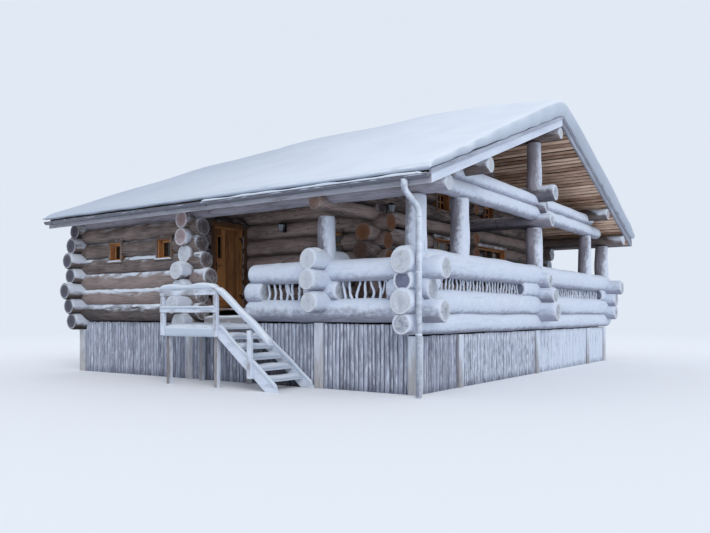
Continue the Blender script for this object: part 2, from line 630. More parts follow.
# %% Round log
def round_log(work, x, y, z, d0, d1=None, finish="frosted log", ends=("frosted end", "frosted end"),
              weather=1.0, bow=0.008, holes=(), trim=None, sides=28, step=0.16, up=UP, lump=0.022, under=0.35,
              cap=0.0):
    """A trunk; under takes frost from its underside, and cap is the snow on its crown."""
    d1 = d0 if d1 is None else d1
    start, end = (np.array(place, float) for place in from_to(x, y, z))
    along, side, over, length = frame_along(start, end, up)
    axis = int(np.argmax(np.abs(along)))
    tone, shift = chance.rand(), chance.uniform(0, 40)
    sway, phase = bow * chance.uniform(-1, 1, 2), chance.uniform(0, 6.28)
    stretches, partial = parted(start, axis, length, min(d0, d1) / 2, holes)
    turn = np.linspace(0, 2 * math.pi, sides, endpoint=False)[None, :]
    for first, last in stretches:
        near, far = first < 0.001, last > length - 0.001
        t = ring_places(first, last, length, step, partial)
        rounding = np.interp(t, *AXED) if near else np.ones(len(t))
        if far:
            rounding *= np.interp(length - t, *AXED)
        t2 = t[:, None]
        radius = (d0 + (d1 - d0) * t2 / length) / 2 * rounding[:, None]
        radius = radius * (1 + lump * ripple(t2, turn / 6.2832 * 2, waves=6, low=0.2, high=1.3))
        to_end = np.clip(np.minimum(t2 - first, last - t2) / 0.07, 0.1, 1)
        crown = np.clip(np.sin(turn), 0, 1) ** 1.4 * to_end**0.5
        radius = radius + cap * crown * (1 + 0.22 * ripple(t2, waves=5, low=0.1, high=0.8))
        waver = 0.4 * bow * np.sin(2.3 * t2 + [phase, 2 * phase])
        bend = np.sin(math.pi * t / length)[:, None] * sway + waver
        centre = start + t2 * along + bend[:, :1] * side + bend[:, 1:] * over
        across = np.stack([radius * np.cos(turn), radius * np.sin(turn)], -1)
        points = centre[:, None, :] + across[..., :1] * side + across[..., 1:] * over
        for t0, t1, low, high in partial:
            inside = (t > t0) & (t < t1)
            points[inside, :, 2] = np.clip(points[inside, :, 2], low, high)
        if trim is not None:
            points = trim(points)
        grain = np.concatenate([np.broadcast_to(t2 + shift, radius.shape)[..., None], across], -1)
        flat = points.reshape(-1, 3)
        reach = weather(flat) if callable(weather) else np.full(len(flat), float(weather))
        hidden = np.broadcast_to(np.clip((-np.sin(turn) - 0.35) / 0.5, 0, 1), radius.shape)
        reach = reach - under * hidden.ravel() + (0.5 if cap else 0) * crown.ravel()
        work.add(points, [wrapped(len(t), sides)], finish, grain, reach, tone)
        for ring, whole, out, skin in ((0, near, -along, ends[0]), (-1, far, along, ends[1])):
            if whole:
                sawn_disc(work, points[ring], grain[ring], out, skin, weather)
            else:
                sawn_disc(work, points[ring], grain[ring], out, "dark end", -0.3)


# %% Sawn end of a log
def sawn_disc(work, rim, grain, out, finish, weather):
    """The sawn end: a shallow dish of rings with a few saw marks; its tone runs from 0 at the heart to 1."""
    heart, heart_grain = rim.mean(0), grain.mean(0) * [1, 0, 0]
    shares = np.array([1, 0.74, 0.42, 0.14])[:, None, None]
    rings, sides = len(shares), len(rim)
    saw_marks = 0.003 * chance.uniform(-1, 1, (rings, sides, 1))
    lift = np.array([0, 0.004, 0.002, -0.001])[:, None, None] + saw_marks
    lift[0] = 0
    points = heart + (rim - heart) * shares + lift * out
    inner = heart_grain + (grain - heart_grain) * shares
    last = (rings - 1) * sides
    fan = [(last + j, last + (j + 1) % sides, rings * sides) for j in range(sides)]
    points = np.vstack([points.reshape(-1, 3), heart])
    inner = np.vstack([inner.reshape(-1, 3), heart_grain])
    share_out = np.append(np.repeat(shares.ravel(), sides), 0.0)
    work.add(points, [wrapped(rings, sides), fan], finish, inner, weather, share_out)


def under_roof(points):
    """Cuts a log off along the sloping underside of the roof."""
    points = points.copy()
    points[..., 2] = np.minimum(points[..., 2], soffit(points[..., 1]) - 0.004)
    return points


# %% [markdown]
# Sawn timber is a section pulled along a line. Its long edges are chamfered, since no real edge is sharp, and
# it wanders by a millimetre or two. Slab boards are the first cuts off a trunk: flat behind, round in front,
# and as wavy in width as the tree was. A cube with a bevel would give a plank as well, but not its wander.

# %% Sawn timber
def capped(rings, sides):
    """The quads of a tube and a flat face at each of its ends."""
    last = (rings - 1) * sides
    return [wrapped(rings, sides), [tuple(range(sides))], [tuple(range(last, last + sides))]]


def swept(start, axes, t, shape, shift):
    """The points of a section that moves along a line, and where they lie in the grain."""
    along, across, out = axes
    line = np.asarray(start, float) + t[:, None, None] * along
    points = line + shape[..., :1] * across + shape[..., 1:] * out
    run = np.broadcast_to(t[:, None, None] + shift, (*shape.shape[:2], 1))
    return points, np.concatenate([run, shape + shift * 0.3], -1)


def moulding(work, start, end, face, section, finish, weather=0.3, wobble=0.0015, step=0.8, soft=False):
    """Pulls a closed section along a line; section is given as (across, out) with out along face."""
    *axes, length = frame_along(start, end, face)
    tone = chance.rand()
    count = max(2, int(length / step) + 1)
    shape = np.asarray(section, float)[None] + wobble * chance.uniform(-1, 1, (count, 1, 2))
    points, grain = swept(start, axes, np.linspace(0, length, count), shape, chance.uniform(0, 40))
    work.add(points, capped(count, len(section)), finish, grain, weather, tone, soft)


def chamfered(wide, thick, cut):
    c = min(cut, 0.4 * min(wide, thick))
    w, t = wide / 2, thick / 2
    return [(-w + c, -t), (w - c, -t), (w, -t + c), (w, t - c), (w - c, t), (-w + c, t), (-w, t - c),
            (-w, -t + c)]


def plank(work, start, end, wide, thick, face, finish, cut=0.006, **more):
    moulding(work, start, end, face, chamfered(wide, thick, cut), finish, **more)


def board(work, x, y, z, wide, thick, face, finish, cut=0.006, **more):
    plank(work, *from_to(x, y, z), wide, thick, face, finish, cut, **more)


# %% Slab boards and outlines
def slab_board(work, foot, top, wide, thick, out, weather):
    """A half-round slab that stands on the ground."""
    *axes, length = frame_along(foot, (foot[0], foot[1], top), out)
    arc = np.linspace(0, math.pi, 8)
    t = np.linspace(0, length, 7)
    grow = 1 + 0.1 * ripple(t, waves=3, low=0.5, high=1.6) - 0.05 * t / length
    sway = 0.006 * ripple(t, waves=2, low=0.3, high=0.9)
    section = np.stack([-np.cos(arc) * wide / 2, np.sin(arc) ** 0.8 * thick], -1)
    shape = section[None] * np.stack([grow, 0.6 + 0.4 * grow], -1)[:, None, :]
    shape[..., 0] += sway[:, None]
    points, grain = swept(foot, axes, t, shape, chance.uniform(0, 40))
    work.add(points, capped(len(t), len(arc)), "slab board", grain, weather, chance.rand())


def flat_shape(work, x0, x1, outline, finish, weather, cut=0.004):
    """A board cut to an outline in the plane across the gable, with eased edges."""
    outline = np.asarray(outline, float)
    middle = outline.mean(0)
    reach = np.linalg.norm(outline - middle, axis=1, keepdims=True)
    eased = outline - (outline - middle) / reach * cut
    rows = [(x0, eased), (x0 + cut, outline), (x1 - cut, outline), (x1, eased)]
    points = np.array([[(x, y, z) for y, z in shape] for x, shape in rows])
    run, rise = outline[1] - outline[0]
    turn = math.atan2(rise, run)
    along = points[..., 1] * math.cos(turn) + points[..., 2] * math.sin(turn)
    across = points[..., 2] * math.cos(turn) - points[..., 1] * math.sin(turn)
    grain = np.stack([along, across, points[..., 0]], -1) + chance.uniform(0, 40)
    work.add(points, capped(len(rows), len(outline)), finish, grain, weather, chance.rand(), False)


# %% [markdown]
# Twigs, pipes and lamp arms are tubes that follow a path, and lamps and hinge knuckles are turned. A curve
# with a bevel or a screw modifier would do this, but neither keeps the grain values that the shaders read.

# %% Tubes and turned parts
def tube(work, path, radii, finish, sides, weather=0.5, lump=0.0):
    path = np.asarray(path, float)
    radii = np.broadcast_to(np.asarray(radii, float), len(path))
    tangents = np.gradient(path, axis=0)
    tangents /= np.linalg.norm(tangents, axis=1, keepdims=True)
    side = np.cross(tangents[0], (0.31, 0.9, 0.3))
    rings, grain, gone = [], [], 0.0
    turn = np.linspace(0, 2 * math.pi, sides, endpoint=False)
    shift = chance.uniform(0, 40)
    for i, (point, tangent, radius) in enumerate(zip(path, tangents, radii)):
        side = side - tangent * (side @ tangent)
        side = side / np.linalg.norm(side)
        over = np.cross(tangent, side)
        gone += np.linalg.norm(point - path[max(i - 1, 0)])
        reach = radius * (1 + lump * chance.uniform(-1, 1, sides))
        across = np.stack([reach * np.cos(turn), reach * np.sin(turn)], -1)
        rings.append(point + across[:, :1] * side + across[:, 1:] * over)
        grain.append(np.column_stack([np.full(sides, gone + shift), across + shift * 0.3]))
    work.add(np.array(rings), capped(len(path), sides), finish, np.array(grain), weather, chance.rand())


def eased_path(corners, radius):
    """A path through the corners with each bend rounded."""
    corners = [np.array(c, float) for c in corners]
    path = [corners[0]]
    for before, corner, after in zip(corners, corners[1:], corners[2:]):
        into, out = before - corner, after - corner
        a = corner + into / np.linalg.norm(into) * min(radius, np.linalg.norm(into) / 2)
        b = corner + out / np.linalg.norm(out) * min(radius, np.linalg.norm(out) / 2)
        for s in np.linspace(0, 1, 5):
            path.append((1 - s) ** 2 * a + 2 * s * (1 - s) * corner + s * s * b)
    return path + [corners[-1]]


def turned(work, foot, axis, profile, finish, sides, weather=0.2, flat=False):
    """Spins (height, radius) pairs round an axis."""
    axis = np.array(axis, float)
    side = np.cross(axis, (0.12, 0.37, 0.92) if abs(axis[2]) < 0.9 else X_AXIS)
    side /= np.linalg.norm(side)
    over = np.cross(axis, side)
    turn = np.linspace(0, 2 * math.pi, sides, endpoint=False)[:, None]
    spokes = np.cos(turn) * side + np.sin(turn) * over
    points = np.array([np.array(foot) + h * axis + r * spokes for h, r in profile])
    work.add(points, capped(len(profile), sides), finish, points, weather, 0.5, not flat)


# %% [markdown]
# Snow lies on round logs as a strip with a ragged edge and on flat boards as a pad with soft shoulders. Both
# sink a little into the wood at their edges, so that no gap shows. Snow as a shader alone would have no
# thickness at the outline, so these are sheets of their own.

# %% Snow on logs and boards
def laid(start, t, along, side, over, aside, height):
    """The points of a snow sheet: aside and height are measured from the line at each place t."""
    return (np.asarray(start, float) + t[:, None, None] * along + aside[..., None] * side
            + height[..., None] * over)


def log_snow(work, x, y, z, radius, lean, reach, thick, patchy=0.0):
    """Snow along a log; lean turns it from the top towards the side of the frame, reach is its half angle."""
    start, end = from_to(x, y, z)
    along, side, over, length = frame_along(start, end, UP)
    count = max(5, int(length / 0.05))
    t = np.linspace(0, length, count)
    lower = 1 + 0.15 * ripple(t, waves=6, low=0.2, high=1.8) + 0.05 * ripple(t, waves=6, low=2.0, high=6.0)
    upper = 1 + 0.12 * ripple(t, waves=6, low=0.2, high=1.8) + 0.04 * ripple(t, waves=6, low=2.0, high=6.0)
    share = np.array([-1, -0.93, -0.8, -0.55, -0.25, 0, 0.25, 0.55, 0.8, 0.93, 1])[None]
    angles = lean + reach * share * np.where(share < 0, lower[:, None], upper[:, None])
    ends = np.clip(np.minimum(t, length - t) / 0.08, 0, 1) ** 0.5
    bulk = thick * (0.8 + 0.35 * ripple(t, waves=5, low=0.5, high=3.0))
    bulk = bulk - patchy * thick * (0.5 + 0.9 * ripple(t, waves=5, low=0.4, high=1.6))
    height = radius + (bulk * ends)[:, None] * np.sqrt(np.clip(1 - share**2, 0, 1)) - 0.007
    points = laid(start, t, along, side, over, height * np.sin(angles), height * np.cos(angles))
    work.add(points, [spread(count, share.size)], "snow", points, 1.0)


def snow_pad(work, x, y, z, wide, thick, step=0.07, up=UP):
    """Snow on a flat board; x, y and z are the middle line of its top."""
    start, end = from_to(x, y, z)
    along, side, over, length = frame_along(start, end, up)
    count = max(6, int(length / step))
    t = np.linspace(0, length, count)
    share = np.array([-1, -0.96, -0.8, -0.5, -0.17, 0.17, 0.5, 0.8, 0.96, 1])[None]
    ends = np.clip(np.minimum(t, length - t) / (0.8 * thick + 0.01), 0, 1) ** 0.5
    bulk = thick * (0.85 + 0.12 * ripple(t, waves=5, low=0.3, high=1.4)) * ends
    height = bulk[:, None] * np.clip(1 - share**4, 0, 1) ** 0.5 - 0.003
    spreads = wide / 2 * (1 + 0.05 * ripple(t, waves=5, low=0.5, high=4.0))
    points = laid(start, t, along, side, over, share * spreads[:, None], height)
    work.add(points, [spread(count, share.size)], "snow", points, 1.0)


# %% [markdown]
# ## Log walls
#
# How white a log is depends on where it stands. The front wall looks into the open, but its upper courses
# hide under the eave, and only the log ends at the crossings catch the wind. Each wall has a small function
# that says how much weather reaches a point. The shaders do the rest. Vertex painting would do this by hand,
# but a function stays right when a log moves.

# %% Weather on the walls
def rising(place, start, over):
    """0 up to start, then growing to 1 over a stretch in metres."""
    return np.clip((place - start) / over, 0, 1)


def front_weather(p):
    x, _, z = p.T
    return 0.24 - 0.26 * rising(z, 1.9, 1.3) + 0.1 * rising(x, -8.5, 2.0)


def crossing_weather(p):
    _, y, z = p.T
    return -0.15 + 0.85 * rising(-y, 0.12, 0.18) * rising(-z, -3.95, 0.9)


def back_weather(p):
    return 0.28 - 0.4 * rising(p[:, 2], 3.3, 0.5)


def deep_shade(p):
    return -0.14 - 0.36 * rising(p[:, 1], 3, 2)


def left_weather(p):
    _, y, z = p.T
    return 0.2 - 0.25 * rising(z - soffit(y), -0.9, 0.6) - 0.25 * rising(-y, 0.1, 0.1)


# %% [markdown]
# A wall is a stack of trunks with windows cut through them. It could be one log and an array, but real logs
# differ in thickness and in how far they run on, so a loop makes each of them anew.

# %% Walls along the eaves
# The openings of each wall: middle, sill height, width and height
window_front = [(-8.53, 2.79, 0.46, 0.5), (-6.7, 2.78, 0.5, 0.5)]
window_recess = [(-3.12, 2.79, 0.56, 0.58)]
window_terrace = [(4.85, 2.45, 1.44, 0.95), (7.49, 2.45, 2.15, 0.95)]
window_gable = [(4.62, 4.08, 0.7, 0.52), (7.38, 4.08, 0.7, 0.52)]
window_left = [(3.6, 2.56, 0.9, 0.8), (8.4, 2.56, 0.9, 0.8)]
window_back = [(-8.3, 2.56, 0.9, 0.8), (-4.6, 2.56, 0.9, 0.8)]
LOG_SLOT = {"weathered log": "frosted_log", "sheltered log": "sheltered_log"}


def holes_of(windows):
    return [(m - w / 2, m + w / 2, sill, sill + h) for m, sill, w, h in windows]


def wall_along(name, y, wall, x0, x1, windows, finish, ends, weather, node, courses=EAVE_COURSE):
    """A wall that runs along the eaves; its courses over the eave height end in the wall across the gable."""
    work = WorkPiece(name)
    for k in range(courses):
        inside = k >= EAVE_COURSE
        first, last = x0 - run_on(k, wall), x1 + (0.15 if inside else run_on(k, wall + 3))
        round_log(work, (first, last), y, z_along(k), log_size(k, wall), finish=finish,
                  ends=("dark end", "dark end") if inside else ends, weather=weather, holes=holes_of(windows),
                  under=0.5)
    work.make(LOG_SLOT[finish], node)


wall_along("front_wall_logs", 0.0, 11, left_x, door_x, window_front, "weathered log",
           ("dark end", "dark end"), front_weather, "front_wall")
wall_along("gallery_wall_logs", gallery, 12, door_x, terrace_x, window_recess, "sheltered log",
           ("orange end", "orange end"), -0.2, "gallery_wall", 8)
wall_along("back_wall_logs", width, 13, left_x, terrace_x, window_back, "weathered log",
           ("frosted end", "frosted end"), back_weather, "back_wall")

# %% [markdown]
# The walls across the gable carry on above the eaves as shorter and shorter logs, cut off along the roof. The
# entrance wall is only two metres long and is parted by the doorway.

# %% Walls across the gable
# Each hole: from and to along the wall, lower and upper edge
door_hole = [(0.5, 1.51, 1.565, 3.59)]
ENTRANCE, TERRACE = 2, 3


def wall_across(name, x, wall, y0, y1, courses, holes, finish, ends, weather, *nodes):
    """A wall across the gable; ends is a pair of finishes, or gives one for each course."""
    work = WorkPiece(name)
    for k in courses:
        first, last = y0 - run_on(k, wall), y1 + run_on(k, wall + 3)
        if k > EAVE_COURSE:
            # Here a log ends where its middle is 0.1 m over the lining
            fits = (z_across(k) - 3.84) / slope + eave_y
            first = max(0.0 if wall == ENTRANCE else eave_y + 0.35, fits)
            last = min(last if wall == ENTRANCE else width - eave_y - 0.35, width - fits)
        if last - first < 0.5:
            continue
        thin, lift = 0, 0
        if wall == TERRACE and k == EAVE_COURSE:
            # This log runs on over the gallery as a beam, and is thinner and a little higher there
            first, thin, lift = -run_on(k, TERRACE + 1), 0.13, 0.039
        round_log(work, x, (first, last), (z_across(k) + lift, z_across(k)), log_size(k, wall) - thin,
                  log_size(k, wall), finish=finish, ends=ends(k) if callable(ends) else ends, weather=weather,
                  holes=holes, trim=under_roof if k >= EAVE_COURSE else None,
                  under=0.45 if finish == "sheltered log" else 0.8)
    work.make(LOG_SLOT[finish], *nodes)


low_courses, gable_courses = range(EAVE_COURSE + 1), range(EAVE_COURSE + 1, 13)
wall_across("entrance_wall_logs", door_x, ENTRANCE, 0, gallery, range(9), door_hole, "sheltered log",
            lambda k: ("fresh end" if k > 4 else "white end", "dark end"), crossing_weather,
            "entrance_wall", "entrance_lintel")
wall_across("terrace_wall_logs", terrace_x, TERRACE, gallery - 0.18, width, low_courses,
            holes_of(window_terrace), "sheltered log",
            lambda k: ({5: "orange end", 6: "bare end"}.get(k, "brown end"), "frosted end"), deep_shade,
            "terrace_wall")
wall_across("terrace_gable_logs", terrace_x, TERRACE, 0, width, gable_courses, holes_of(window_gable),
            "sheltered log", ("orange end", "orange end"), -0.25, "terrace_gable")
wall_across("left_wall_logs", left_x, 1, 0, width, low_courses, holes_of(window_left), "weathered log",
            ("grey end", "frosted end"), left_weather, "left_wall")
wall_across("left_gable_logs", left_x, 1, 0, width, gable_courses, [], "weathered log",
            ("dark end", "dark end"), left_weather, "left_gable")

# %% [markdown]
# ## Terrace rails
#
# The parapet is built as a log wall with its middle courses left out: a long log below, packing logs at the
# crossings, and the rail on top. The great rail on the terrace side tapers a little from the near corner, as
# the tree did, and keeps its upper side level. Each log is one row of numbers: from, to, course, thickness.

# %% Rail logs
rails = WorkPiece("front_rail_trunks")
for x0, x1, k, d in ((-4.11, 0.61, 0, 0.43), (-4.13, -3.68, 1, 0.42), (-2.5, -1.7, 1, 0.414),
                     (-0.53, 0.36, 1, 0.42), (-4.02, 0.64, 2, 0.412)):
    round_log(rails, (x0, x1), 0, z_along(k), d, weather=0.42 + 0.16 * k, step=0.12, sides=32, cap=0.03)
rails.make("frosted_log", "front_rail_logs")

rails = WorkPiece("back_rail_trunks")
for x0, x1, k, d in ((-1.53, 0.46, 0, 0.426), (-0.58, 0.47, 1, 0.42), (-1.53, 0.65, 2, 0.412)):
    round_log(rails, (x0, x1), width, z_along(k), d, weather=0.5, step=0.14, cap=0.03, under=0.7)
rails.make("frosted_log", "back_rail_logs")

rails = WorkPiece("terrace_rail_trunks")
for y0, y1, k, d in ((-0.515, 12.4, 0, 0.404), (-0.54, 12.44, 1, 0.49), (-0.47, 0.62, 2, 0.42),
                     (4.93, 6.52, 2, 0.4), (11.48, 12.4, 2, 0.4)):
    near_end = {1: "white end", 2: "blue end"}.get(k, "frosted end")
    round_log(rails, 0, (y0, y1), z_across(k), d, ends=(near_end, "frosted end"), weather=0.5, step=0.12,
              sides=32, cap=0.03)
round_log(rails, 0, (-0.54, 12.42), (2.435, 2.445), 0.48, 0.465, ends=("white end", "frosted end"),
          weather=0.55, step=0.12, sides=36, cap=0.045)
rails.make("frosted_log", "terrace_rail_logs")

stubs = WorkPiece("crossing_logs")
for out, z in ((0.6, 1.715), (0.66, 2.145), (0.62, 2.535)):
    round_log(stubs, terrace_x, (-out, 0.565), z, 0.41, ends=("white end", "frosted end"), weather=0.5,
              step=0.1, cap=0.035)
for k, (out, d) in enumerate(((0.62, 0.46), (0.56, 0.41), (0.43, 0.36))):
    round_log(stubs, (-0.225, out), mid_y, z_along(k), d, weather=0.4, step=0.1, cap=0.035, under=0.8)
for k, d in ((3, 0.38), (4, 0.38), (5, 0.38), (7, 0.3)):
    round_log(stubs, (terrace_x - 0.44, terrace_x + 0.47), mid_y, z_along(k), d, finish="sheltered log",
              ends=("orange end", "orange end"), weather=-0.1)
stubs.make("frosted_log", "crossing_stubs")

# %% [markdown]
# The balusters are crooked twigs, set close on the terrace side and loosely in front. Each bends its own way,
# and some fork. One twig could be modelled well and copied, but copies show at once in a row. A tube along a
# path of chance values costs little, and no two are alike.

# %% Twig balusters
def twig(work, foot, top, across, bend, girth):
    foot, top, across = (np.array(v, float) for v in (foot, top, across))
    share = np.linspace(0, 1, 8)
    curve = bend * np.sin(math.pi * share * chance.uniform(0.8, 1.6)) + 0.008 * chance.uniform(-1, 1, 8)
    path = foot + (top - foot) * share[:, None] + curve[:, None] * across
    path[:, 0] += 0.01 * chance.uniform(-1, 1, 8)
    girths = girth * (1.1 - 0.25 * share) * (1 + 0.1 * chance.uniform(-1, 1, 8))
    tube(work, path, girths, "twig bark", 8, 0.62, 0.06)
    if chance.rand() < 0.25:
        joint = path[chance.randint(2, 4)]
        reach = across * chance.choice([-1, 1]) * chance.uniform(0.05, 0.1)
        rise = (top - joint) * UP
        fork = [joint, joint + reach * 0.6 + (0, 0, 0.05), joint + reach + rise * 0.6,
                joint + reach * 1.1 + rise]
        tube(work, fork, girth * np.array([0.8, 0.7, 0.62, 0.55]), "twig bark", 7, 0.62, 0.05)


def twig_row(name, node, bays, along, low, high, stray, bend, girth):
    """Twigs in the bays (from, to, count) of a rail that runs along an axis."""
    work = WorkPiece(name)
    along = np.array(along)
    for first, last, count in bays:
        for i in range(count):
            place = first + (i + 0.5) * (last - first) / count
            lean = chance.uniform(-stray, stray)
            twig(work, along * (place - lean) + (0, 0, low), along * (place + lean) + (0, 0, high), along,
                 chance.uniform(-bend, bend), girth)
    work.make("twig", node)


twig_row("front_twigs", "front_balusters", ((-3.68, -2.5, 7), (-1.7, -0.53, 7)), X_AXIS, 1.74, 2.13, 0.04,
         0.035, 0.027)
twig_row("terrace_twigs", "terrace_balusters", ((0.62, 4.93, 27), (6.52, 11.48, 31)), Y_AXIS, 1.92, 2.22,
         0.02, 0.025, 0.022)

# %% [markdown]
# ## Roof frame
#
# Five posts stand on the great rail and one on the front rail. Posts have a deeper lump than walls have, as
# natural trunks do. The wind blows frost on their outer sides.

# %% Posts and king post
def post_weather(p):
    return 0.52 - 0.24 * rising(p[:, 2], 3.1, 0.6)


UPRIGHT = dict(finish="post log", up=Y_AXIS, lump=0.04, step=0.08, under=0)
posts = WorkPiece("round_posts")
for y, d, top, more in ((0, 0.41, 3.68, 0.25), (1.8, 0.4, 3.85, -0.02), (6.0, 0.43, 3.665, -0.3),
                        (10.2, 0.39, 3.85, -0.24), (12.0, 0.42, 3.68, -0.3)):
    round_log(posts, 0, y, (2.45, top), d * 1.02, d - 0.03, weather=lambda p: post_weather(p) + more,
              **UPRIGHT)
round_log(posts, terrace_x, 0, (2.5, 3.44), 0.37, 0.345, weather=0.36, **UPRIGHT)
posts.make("frosted_log", "terrace_posts")

king = WorkPiece("king_post_log")
round_log(king, 0, mid_y, (4.5, 5.82), 0.37, 0.35, weather=0.06, **UPRIGHT)
king.make("frosted_log", "king_post")

# %% [markdown]
# Two tie logs run from slope to slope over the posts, three short beams lock into the ties at the middle, and
# the king post carries the ridge. All of them are round logs again, and the ties are cut off along the roof.

# %% Ties and beams
def beam_weather(p):
    return -0.3 + 0.65 * rising(p[:, 0], -0.1, 0.3)


ties = WorkPiece("tie_logs")
for y, z, d0, d1, weather in ((0.64, 4.02, 0.345, 0.335, 0.36), (1.35, 4.35, 0.31, 0.29, 0.34)):
    round_log(ties, 0, (y, width - y), z, d0, d1, weather=weather, step=0.12, trim=under_roof, cap=0.02)
ties.make("frosted_log", "truss_ties")

beams = WorkPiece("middle_beams")
for x0, x1, z, d in ((-1.825, 0.48, 3.825, 0.32), (-0.48, 0.33, 4.165, 0.27), (-0.56, 0.56, 4.505, 0.4)):
    round_log(beams, (x0, x1), mid_y, z, d, step=0.08, finish="post log", under=0.6, cap=0.015,
              weather=beam_weather)
beams.make("frosted_log", "centre_beams")

# %% [markdown]
# Five purlins carry the roof and run out past the posts. Only their outer ends are white, except that the one
# at the front eave frosts over a greater length.

# %% Purlins
def outer_end(p):
    return -0.35 + rising(p[:, 0], 0.05, 0.45)


def eave_purlin(p):
    return np.maximum(outer_end(p), -0.1 + 0.45 * rising(p[:, 0], -6.5, 4))


purlins = WorkPiece("purlin_logs")
for y, z, d, skin in ((0, 3.84, 0.32, "white end"), (width, 3.84, 0.32, "white end"),
                      (1.8, 4.46, 0.34, "white end"), (10.2, 4.46, 0.34, "fresh end"),
                      (mid_y, 5.975, 0.31, "white end")):
    near = y == 0
    round_log(purlins, (-10.38, 0.69), y, z, d, weather=eave_purlin if near else outer_end,
              finish="post log" if near else "weathered log", ends=(skin, skin), trim=under_roof, step=0.2)
purlins.make("frosted_log", "purlins")

# %% [markdown]
# ## Roof
#
# From below, the roof shows warm brown boards that run along the house, parted by narrow dark gaps. They are
# the one warm surface under the gable, and they age unevenly. A texture with lines could show them, but real
# planks over one dark sheet also catch the light on their edges.

# %% Lining boards and roof body
lining_count = 42
for name, near, node in (("roof_front_boards", True, "roof_front"), ("roof_back_boards", False, "roof_back")):
    work = WorkPiece(name)
    out = np.array([0, slope if near else -slope, -1.0]) / math.hypot(1, slope)
    for i in range(lining_count):
        run = (i + 0.5) * (mid_y - eave_y) / lining_count
        y = eave_y + run if near else far_eave - run
        z = float(soffit(y)) + 0.012 + chance.uniform(-0.002, 0.002)
        board(work, (roof_left + 0.07, roof_right - 0.07), y, z, chance.uniform(0.115, 0.14), 0.022, out,
              "roof lining", 0.004, weather=0.0, wobble=0.008, step=0.5)
    ys = (eave_y, mid_y) if near else (far_eave, mid_y)
    outline = [(y, soffit(y) + 0.026) for y in ys] + [(y, roof_top(y) - 0.002) for y in ys[::-1]]
    flat_shape(work, roof_left + 0.063, roof_right - 0.063, outline, "dark lining", -0.3)
    work.make("roof_lining", node)

# %% [markdown]
# The barge is two boards deep: a wide one under the roof edge and a narrower cover that steps out over it.
# Frost whitens both. Along the eave a darker fascia carries the gutter. A plank can't end in an upright cut
# at the ridge, so barge boards are outlines in the plane of the gable.

# %% Barge boards and fascias
barge = WorkPiece("barge_planks")
# Each board: from and to along X, lower and upper edge over the line of the barge, weather
barge_rows = ((0.69, 0.726, 0.0, 0.163, 0.6), (0.7, 0.745, 0.168, 0.24, 0.14), (0.7, 0.75, 0.244, 0.25, 0.5),
              (-10.426, -10.39, 0.0, 0.163, 0.3), (-10.45, -10.4, 0.168, 0.25, 0.1))
for x0, x1, low, high, weather in barge_rows:
    for y0, y1, shelter in ((eave_y, mid_y, 0), (mid_y, far_eave, 0.4)):
        a, b = barge_low(y0), barge_low(y1)
        flat_shape(barge, x0, x1, [(y0, a + low), (y1, b + low), (y1, b + high), (y0, a + high)],
                   "barge board", weather - shelter, 0.002)
barge.make("edge_board", "barge_boards")

fascia = WorkPiece("fascia_boards")
for y, side in ((eave_y - 0.016, -1), (far_eave + 0.016, 1)):
    for off, z, wide, thick, weather in ((0, 3.795, 0.185, 0.028, -0.05), (0.012, 3.86, 0.05, 0.014, 0.1)):
        board(fascia, (roof_left, roof_right), y + side * off, z, wide, thick, (0, side, 0), "edge board",
              weather=weather)
fascia.make("edge_board", "eave_fascias")

# %% [markdown]
# The gutter is a half-round channel with a rolled edge, hung on straps. Its pipe leaves near the terrace
# corner, slants back under the eave and runs down in the notch between the log ends. The channel is one
# closed section pulled along the eave, which gives the sheet its thickness without a modifier.

# %% Gutter and downpipe
gutter_y, gutter_z = -0.866, 3.85
gutter = WorkPiece("half_round_gutter")
arc = np.linspace(math.pi, 2 * math.pi, 13)
outer, inner = ([(r * math.cos(a), r * math.sin(a)) for a in arc] for r in (0.07, 0.064))
moulding(gutter, (roof_left, gutter_y, gutter_z), (roof_right, gutter_y, gutter_z), UP, outer + inner[::-1],
         "frosted metal", weather=-0.05, step=0.5, soft=True)
for rim_y in (gutter_y - 0.07, gutter_y + 0.07):
    rim = [(x, rim_y, gutter_z) for x in np.linspace(roof_left, roof_right, 12)]
    tube(gutter, rim, 0.008, "frosted metal", 8, 0.2)
for x in np.arange(roof_left + 0.3, roof_right, 0.62):
    strap = [(x, gutter_y + 0.075 * math.cos(a), gutter_z + 0.075 * math.sin(a)) for a in arc]
    tube(gutter, strap + [(x, -0.79, 3.9)], 0.007, "frosted metal", 6, 0.1)
gutter.make("metal", "gutter")

pipe = WorkPiece("downpipe_run")
pipe_x, pipe_y, outlet_x, pipe_radius = 0.305, -0.42, 0.27, 0.056
bends = [(outlet_x, gutter_y, 3.8), (outlet_x, gutter_y, 3.63), (pipe_x, pipe_y, 3.36),
         (pipe_x, pipe_y, 0.02)]
tube(pipe, eased_path(bends, 0.1), pipe_radius, "frosted pipe", 18, 0.46, 0.03)
socket = [(0, pipe_radius), (0.004, 0.063), (0.036, 0.063), (0.04, pipe_radius)]
for z in (3.2, 2.2, 1.1):
    turned(pipe, (pipe_x, pipe_y, z), UP, socket, "frosted pipe", 18, 0.5)
funnel = [(0, pipe_radius), (0.005, 0.06), (0.1, 0.062), (0.12, 0.064)]
turned(pipe, (outlet_x, gutter_y, 3.68), UP, funnel, "frosted pipe", 18, 0.5)
pipe.make("metal", "downpipe")

# %% [markdown]
# ## Snow on the roof
#
# The cover is one sheet over both slopes: thin at the front eave where it slid off, deep at the ridge and at
# the back. Its top is a formula of place, its edges round over, and at the near gable it hangs free of the
# boards in low hollows. Skirt rows round the sheet give it the thick broken edge. Sculpting would do for one
# picture, but a formula keeps the depth in metres.

# %% Edges of the snow sheet
snow_x0, snow_x1, snow_y0, snow_y1 = roof_left - 0.03, roof_right + 0.03, -0.87, 12.81
